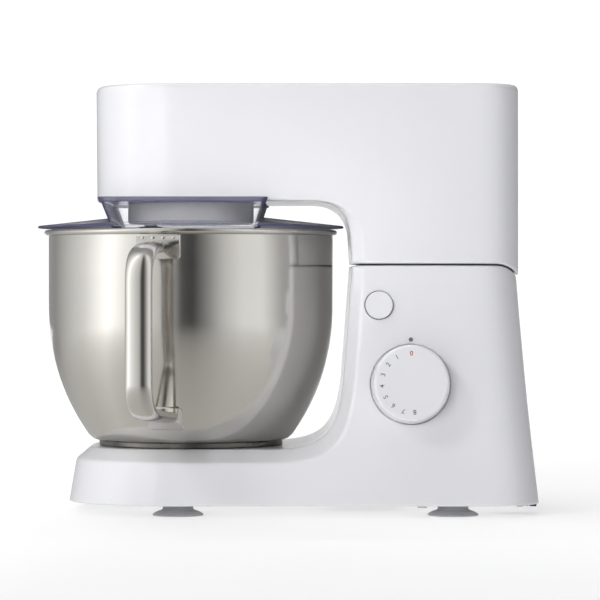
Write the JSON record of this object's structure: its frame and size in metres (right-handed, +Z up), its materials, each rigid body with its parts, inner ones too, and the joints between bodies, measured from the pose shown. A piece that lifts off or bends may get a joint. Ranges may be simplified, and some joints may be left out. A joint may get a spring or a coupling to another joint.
{
  "type": "stand mixer",
  "caption": "Tilt-head stand mixer: a flat-topped head with planetary drive on a tapered column, with a handled steel bowl, clear splash guard, speed dial and release button.",
  "frame": {"origin": "centre of the footprint, on the surface that the feet rest on", "axes": "+X from the bowl towards the hinge column, +Y away from the side with the dial, +Z up"},
  "size_m": [0.3706, 0.2838, 0.314],
  "materials": {
    "white_plastic": "glossy injection-moulded plastic",
    "clear_plastic": "transparent plastic with a blue-violet tint",
    "black_plastic": "matte moulded plastic",
    "grey_rubber": "soft grey rubber",
    "black_rubber": "black rubber",
    "polished_steel": "mirror-polished stainless steel",
    "machined_steel": "turned steel",
    "cast_alloy": "sand-textured cast aluminium",
    "laminations": "stacked electrical steel",
    "copper": "enamelled copper wire and copper segments",
    "circuit_board": "green solder mask"
  },
  "bodies": {
    "stand": {"stand_shell": "white_plastic", "bottom_cover": "white_plastic", "bowl_seat": "cast_alloy", "hinge_bracket": "cast_alloy", "hinge_pin": "machined_steel", "control_board": "circuit_board", "heat_sink": "cast_alloy", "terminal_block": "black_plastic", "cord_gland": "black_rubber", "speed_switch": "black_plastic", "button_guide": "black_plastic", "button_spring": "machined_steel", "foot_1": "grey_rubber", "foot_2": "grey_rubber", "foot_3": "grey_rubber", "foot_4": "grey_rubber", "bottom_screw_1": "machined_steel", "bottom_screw_2": "machined_steel", "bottom_screw_3": "machined_steel", "bottom_screw_4": "machined_steel"},
    "head": {"head_shell": "white_plastic", "head_lower_cover": "white_plastic", "splash_guard": "clear_plastic", "head_frame": "cast_alloy", "gear_cover": "cast_alloy", "ring_gear": "machined_steel", "strike_plate": "machined_steel", "carrier_bearing": "machined_steel", "pulley_bearing": "machined_steel", "hinge_arm_left": "cast_alloy", "hinge_arm_right": "cast_alloy", "drive_belt": "black_rubber", "motor_stator": "laminations", "field_coil_front": "copper", "field_coil_rear": "copper", "motor_bracket_top": "cast_alloy", "motor_bracket_bottom": "cast_alloy", "brush_holder_left": "black_plastic", "brush_holder_right": "black_plastic"},
    "hub": {"planet_carrier": "white_plastic", "carrier_shaft": "machined_steel", "carrier_gear": "machined_steel"},
    "beater": {"planet_shaft": "machined_steel", "planet_pinion": "machined_steel", "flat_beater": "cast_alloy"},
    "pulley": {"driven_pulley": "black_plastic", "pulley_shaft": "machined_steel", "drive_pinion": "machined_steel"},
    "rotor": {"armature": "laminations", "motor_shaft": "machined_steel", "commutator": "copper", "motor_fan": "black_plastic", "drive_pulley": "machined_steel"},
    "bowl": {"bowl_shell": "polished_steel", "bowl_handle": "polished_steel", "bowl_foot": "polished_steel"},
    "dial": {"dial_cap": "white_plastic", "dial_shaft": "machined_steel"},
    "button": {"release_button": "white_plastic", "latch_bar": "machined_steel"}
  },
  "joints": [
    {"name": "head_tilt", "type": "hinge", "parent": "stand", "child": "head", "pos_m": [0.1531, 0.02748, 0.16], "axis": [0, 1, 0], "range_deg": [0, 35]},
    {"name": "hub_spin", "type": "hinge", "parent": "head", "child": "hub", "pos_m": [-0.0709, 0.02748, 0.22], "axis": [0, 0, 1], "continuous": true},
    {"name": "beater_spin", "type": "hinge", "parent": "hub", "child": "beater", "pos_m": [-0.1009, 0.02748, 0.2], "axis": [0, 0, 1], "continuous": true},
    {"name": "pulley_spin", "type": "hinge", "parent": "head", "child": "pulley", "pos_m": [-0.0109, 0.02748, 0.28], "axis": [0, 0, 1], "continuous": true},
    {"name": "rotor_spin", "type": "hinge", "parent": "head", "child": "rotor", "pos_m": [0.1071, 0.02748, 0.24], "axis": [0, 0, 1], "continuous": true},
    {"name": "bowl_turn", "type": "hinge", "parent": "stand", "child": "bowl", "pos_m": [-0.0709, 0.02748, 0.05], "axis": [0, 0, -1], "range_deg": [0, 30]},
    {"name": "dial_turn", "type": "hinge", "parent": "stand", "child": "dial", "pos_m": [0.0906, -0.05737, 0.0956], "axis": [0, 0.9961, -0.0883], "range_deg": [0, 190]},
    {"name": "button_press", "type": "slide", "parent": "stand", "child": "button", "axis": [0, 1, 0], "range_m": [0, 0.005], "stiffness_N_per_m": 400, "deforming": ["button_spring"]}
  ],
  "couplings": [
    {"joint": "beater_spin", "follows": "hub_spin", "ratio": -3.5},
    {"joint": "pulley_spin", "follows": "hub_spin", "ratio": -4},
    {"joint": "rotor_spin", "follows": "hub_spin", "ratio": -20}
  ]
}
